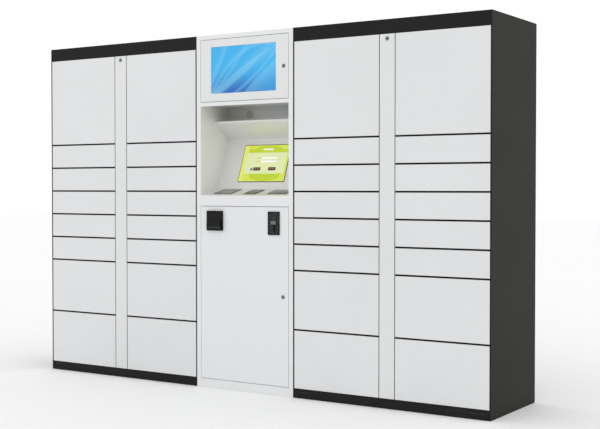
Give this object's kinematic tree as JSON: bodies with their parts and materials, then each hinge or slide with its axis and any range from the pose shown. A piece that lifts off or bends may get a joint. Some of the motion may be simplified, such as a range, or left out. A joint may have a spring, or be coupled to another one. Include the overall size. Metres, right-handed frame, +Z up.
{
  "type": "parcel locker",
  "caption": "Free-standing parcel locker: hinged steel compartment doors in columns either side of a control module with a screen, recess, printer and coin slot.",
  "frame": {"origin": "on the floor, under the middle of the control module, half way between the front and the back", "axes": "+X to the right along the row of modules, -Y out of the doors, +Z up"},
  "size_m": [2.816, 0.5713, 1.9],
  "materials": {
    "carcass_paint": "fine-textured charcoal powder coat",
    "rack_paint": "matt black powder coat",
    "door_paint": "satin light grey powder coat",
    "control_paint": "satin white powder coat",
    "liner_paint": "satin light grey powder coat",
    "touch_glass": "glossy lit screen",
    "reader_gloss": "glossy dark plastic",
    "display_panel": "lit display panel",
    "lock_metal": "plated steel",
    "lock_housing": "zinc-plated steel",
    "printer_plastic": "fine-textured black plastic",
    "coin_plate": "satin black",
    "button_grey": "grey plastic"
  },
  "bodies": {
    "cabinet": {"left_carcass": "carcass_paint", "right_carcass": "carcass_paint", "rack_A": "rack_paint", "rack_B": "rack_paint", "rack_C": "rack_paint", "rack_D": "rack_paint", "left_lock_rail": "lock_housing", "right_lock_rail": "lock_housing", "control_carcass": "control_paint", "control_front": "control_paint", "recess_liner": "liner_paint", "touch_screen": "touch_glass", "card_reader": "reader_gloss", "code_scanner": "reader_gloss", "id_reader": "reader_gloss"},
    "display_door": {"display_door": "door_paint", "display_monitor": "display_panel"},
    "display_lock": {"display_lock": "lock_metal"},
    "service_door": {"service_door": "door_paint", "receipt_printer": "printer_plastic", "coin_acceptor": "coin_plate"},
    "service_lock": {"service_lock": "lock_metal"},
    "printer_cover": {"printer_cover": "printer_plastic"},
    "coin_button": {"coin_button": "button_grey"},
    "left_strip": {"left_strip": "door_paint"},
    "left_strip_lock": {"left_strip_lock": "lock_metal"},
    "right_strip": {"right_strip": "door_paint"},
    "right_strip_lock": {"right_strip_lock": "lock_metal"},
    "door_A1": {"door_A1": "door_paint"},
    "door_B1": {"door_B1": "door_paint"},
    "door_C1": {"door_C1": "door_paint"},
    "door_D1": {"door_D1": "door_paint"},
    "door_A2": {"door_A2": "door_paint"},
    "door_B2": {"door_B2": "door_paint"},
    "door_C2": {"door_C2": "door_paint"},
    "door_D2": {"door_D2": "door_paint"},
    "door_A3": {"door_A3": "door_paint"},
    "door_B3": {"door_B3": "door_paint"},
    "door_C3": {"door_C3": "door_paint"},
    "door_D3": {"door_D3": "door_paint"},
    "door_A4": {"door_A4": "door_paint"},
    "door_B4": {"door_B4": "door_paint"},
    "door_C4": {"door_C4": "door_paint"},
    "door_D4": {"door_D4": "door_paint"},
    "door_A5": {"door_A5": "door_paint"},
    "door_B5": {"door_B5": "door_paint"},
    "door_C5": {"door_C5": "door_paint"},
    "door_D5": {"door_D5": "door_paint"},
    "door_A6": {"door_A6": "door_paint"},
    "door_B6": {"door_B6": "door_paint"},
    "door_C6": {"door_C6": "door_paint"},
    "door_D6": {"door_D6": "door_paint"},
    "door_A7": {"door_A7": "door_paint"},
    "door_B7": {"door_B7": "door_paint"},
    "door_C7": {"door_C7": "door_paint"},
    "door_D7": {"door_D7": "door_paint"},
    "door_A8": {"door_A8": "door_paint"},
    "door_B8": {"door_B8": "door_paint"},
    "door_C8": {"door_C8": "door_paint"},
    "door_D8": {"door_D8": "door_paint"}
  },
  "joints": [
    {"name": "display_door_hinge", "type": "hinge", "parent": "cabinet", "child": "display_door", "pos_m": [-0.27875, -0.27, 1.70935], "axis": [0, 0, -1], "range_deg": [0, 90]},
    {"name": "display_lock_turn", "type": "hinge", "parent": "display_door", "child": "display_lock", "pos_m": [0.25535, -0.275, 1.7091], "axis": [0, -1, 0], "range_deg": [0, 90]},
    {"name": "service_door_hinge", "type": "hinge", "parent": "cabinet", "child": "service_door", "pos_m": [-0.27875, -0.27, 0.5153], "axis": [0, 0, -1], "range_deg": [0, 90]},
    {"name": "service_lock_turn", "type": "hinge", "parent": "service_door", "child": "service_lock", "pos_m": [0.25125, -0.275, 0.5153], "axis": [0, -1, 0], "range_deg": [0, 90]},
    {"name": "printer_cover_hinge", "type": "hinge", "parent": "service_door", "child": "printer_cover", "pos_m": [-0.18525, -0.2873, 0.94845], "axis": [1, 0, 0], "range_deg": [-80, 0]},
    {"name": "coin_button_press", "type": "slide", "parent": "service_door", "child": "coin_button", "axis": [0, 1, 0], "range_m": [0, 0.003], "stiffness_N_per_m": 300},
    {"name": "left_strip_lift_off", "type": "slide", "parent": "cabinet", "child": "left_strip", "axis": [0, -1, 0], "range_m": [0, 0.12]},
    {"name": "left_strip_lock_turn", "type": "hinge", "parent": "left_strip", "child": "left_strip_lock", "pos_m": [-0.8605, -0.275, 1.806], "axis": [0, 1, 0], "range_deg": [0, 90]},
    {"name": "right_strip_lift_off", "type": "slide", "parent": "cabinet", "child": "right_strip", "axis": [0, -1, 0], "range_m": [0, 0.12]},
    {"name": "right_strip_lock_turn", "type": "hinge", "parent": "right_strip", "child": "right_strip_lock", "pos_m": [0.8605, -0.275, 1.806], "axis": [0, 1, 0], "range_deg": [0, 90]},
    {"name": "door_A1_hinge", "type": "hinge", "parent": "cabinet", "child": "door_A1", "pos_m": [-1.394, -0.269, 0.19875], "axis": [0, 0, -1], "range_deg": [0, 90]},
    {"name": "door_B1_hinge", "type": "hinge", "parent": "cabinet", "child": "door_B1", "pos_m": [-0.327, -0.269, 0.19875], "axis": [0, 0, 1], "range_deg": [0, 90]},
    {"name": "door_C1_hinge", "type": "hinge", "parent": "cabinet", "child": "door_C1", "pos_m": [0.327, -0.269, 0.19875], "axis": [0, 0, -1], "range_deg": [0, 90]},
    {"name": "door_D1_hinge", "type": "hinge", "parent": "cabinet", "child": "door_D1", "pos_m": [1.394, -0.269, 0.19875], "axis": [0, 0, 1], "range_deg": [0, 90]},
    {"name": "door_A2_hinge", "type": "hinge", "parent": "cabinet", "child": "door_A2", "pos_m": [-1.394, -0.269, 0.50425], "axis": [0, 0, -1], "range_deg": [0, 90]},
    {"name": "door_B2_hinge", "type": "hinge", "parent": "cabinet", "child": "door_B2", "pos_m": [-0.327, -0.269, 0.50425], "axis": [0, 0, 1], "range_deg": [0, 90]},
    {"name": "door_C2_hinge", "type": "hinge", "parent": "cabinet", "child": "door_C2", "pos_m": [0.327, -0.269, 0.50425], "axis": [0, 0, -1], "range_deg": [0, 90]},
    {"name": "door_D2_hinge", "type": "hinge", "parent": "cabinet", "child": "door_D2", "pos_m": [1.394, -0.269, 0.50425], "axis": [0, 0, 1], "range_deg": [0, 90]},
    {"name": "door_A3_hinge", "type": "hinge", "parent": "cabinet", "child": "door_A3", "pos_m": [-1.394, -0.269, 0.7245], "axis": [0, 0, -1], "range_deg": [0, 90]},
    {"name": "door_B3_hinge", "type": "hinge", "parent": "cabinet", "child": "door_B3", "pos_m": [-0.327, -0.269, 0.7245], "axis": [0, 0, 1], "range_deg": [0, 90]},
    {"name": "door_C3_hinge", "type": "hinge", "parent": "cabinet", "child": "door_C3", "pos_m": [0.327, -0.269, 0.7245], "axis": [0, 0, -1], "range_deg": [0, 90]},
    {"name": "door_D3_hinge", "type": "hinge", "parent": "cabinet", "child": "door_D3", "pos_m": [1.394, -0.269, 0.7245], "axis": [0, 0, 1], "range_deg": [0, 90]},
    {"name": "door_A4_hinge", "type": "hinge", "parent": "cabinet", "child": "door_A4", "pos_m": [-1.394, -0.269, 0.8595], "axis": [0, 0, -1], "range_deg": [0, 90]},
    {"name": "door_B4_hinge", "type": "hinge", "parent": "cabinet", "child": "door_B4", "pos_m": [-0.327, -0.269, 0.8595], "axis": [0, 0, 1], "range_deg": [0, 90]},
    {"name": "door_C4_hinge", "type": "hinge", "parent": "cabinet", "child": "door_C4", "pos_m": [0.327, -0.269, 0.8595], "axis": [0, 0, -1], "range_deg": [0, 90]},
    {"name": "door_D4_hinge", "type": "hinge", "parent": "cabinet", "child": "door_D4", "pos_m": [1.394, -0.269, 0.8595], "axis": [0, 0, 1], "range_deg": [0, 90]},
    {"name": "door_A5_hinge", "type": "hinge", "parent": "cabinet", "child": "door_A5", "pos_m": [-1.394, -0.269, 0.9945], "axis": [0, 0, -1], "range_deg": [0, 90]},
    {"name": "door_B5_hinge", "type": "hinge", "parent": "cabinet", "child": "door_B5", "pos_m": [-0.327, -0.269, 0.9945], "axis": [0, 0, 1], "range_deg": [0, 90]},
    {"name": "door_C5_hinge", "type": "hinge", "parent": "cabinet", "child": "door_C5", "pos_m": [0.327, -0.269, 0.9945], "axis": [0, 0, -1], "range_deg": [0, 90]},
    {"name": "door_D5_hinge", "type": "hinge", "parent": "cabinet", "child": "door_D5", "pos_m": [1.394, -0.269, 0.9945], "axis": [0, 0, 1], "range_deg": [0, 90]},
    {"name": "door_A6_hinge", "type": "hinge", "parent": "cabinet", "child": "door_A6", "pos_m": [-1.394, -0.269, 1.1295], "axis": [0, 0, -1], "range_deg": [0, 90]},
    {"name": "door_B6_hinge", "type": "hinge", "parent": "cabinet", "child": "door_B6", "pos_m": [-0.327, -0.269, 1.1295], "axis": [0, 0, 1], "range_deg": [0, 90]},
    {"name": "door_C6_hinge", "type": "hinge", "parent": "cabinet", "child": "door_C6", "pos_m": [0.327, -0.269, 1.1295], "axis": [0, 0, -1], "range_deg": [0, 90]},
    {"name": "door_D6_hinge", "type": "hinge", "parent": "cabinet", "child": "door_D6", "pos_m": [1.394, -0.269, 1.1295], "axis": [0, 0, 1], "range_deg": [0, 90]},
    {"name": "door_A7_hinge", "type": "hinge", "parent": "cabinet", "child": "door_A7", "pos_m": [-1.394, -0.269, 1.2645], "axis": [0, 0, -1], "range_deg": [0, 90]},
    {"name": "door_B7_hinge", "type": "hinge", "parent": "cabinet", "child": "door_B7", "pos_m": [-0.327, -0.269, 1.2645], "axis": [0, 0, 1], "range_deg": [0, 90]},
    {"name": "door_C7_hinge", "type": "hinge", "parent": "cabinet", "child": "door_C7", "pos_m": [0.327, -0.269, 1.2645], "axis": [0, 0, -1], "range_deg": [0, 90]},
    {"name": "door_D7_hinge", "type": "hinge", "parent": "cabinet", "child": "door_D7", "pos_m": [1.394, -0.269, 1.2645], "axis": [0, 0, 1], "range_deg": [0, 90]},
    {"name": "door_A8_hinge", "type": "hinge", "parent": "cabinet", "child": "door_A8", "pos_m": [-1.394, -0.269, 1.582], "axis": [0, 0, -1], "range_deg": [0, 90]},
    {"name": "door_B8_hinge", "type": "hinge", "parent": "cabinet", "child": "door_B8", "pos_m": [-0.327, -0.269, 1.582], "axis": [0, 0, 1], "range_deg": [0, 90]},
    {"name": "door_C8_hinge", "type": "hinge", "parent": "cabinet", "child": "door_C8", "pos_m": [0.327, -0.269, 1.582], "axis": [0, 0, -1], "range_deg": [0, 90]},
    {"name": "door_D8_hinge", "type": "hinge", "parent": "cabinet", "child": "door_D8", "pos_m": [1.394, -0.269, 1.582], "axis": [0, 0, 1], "range_deg": [0, 90]}
  ]
}
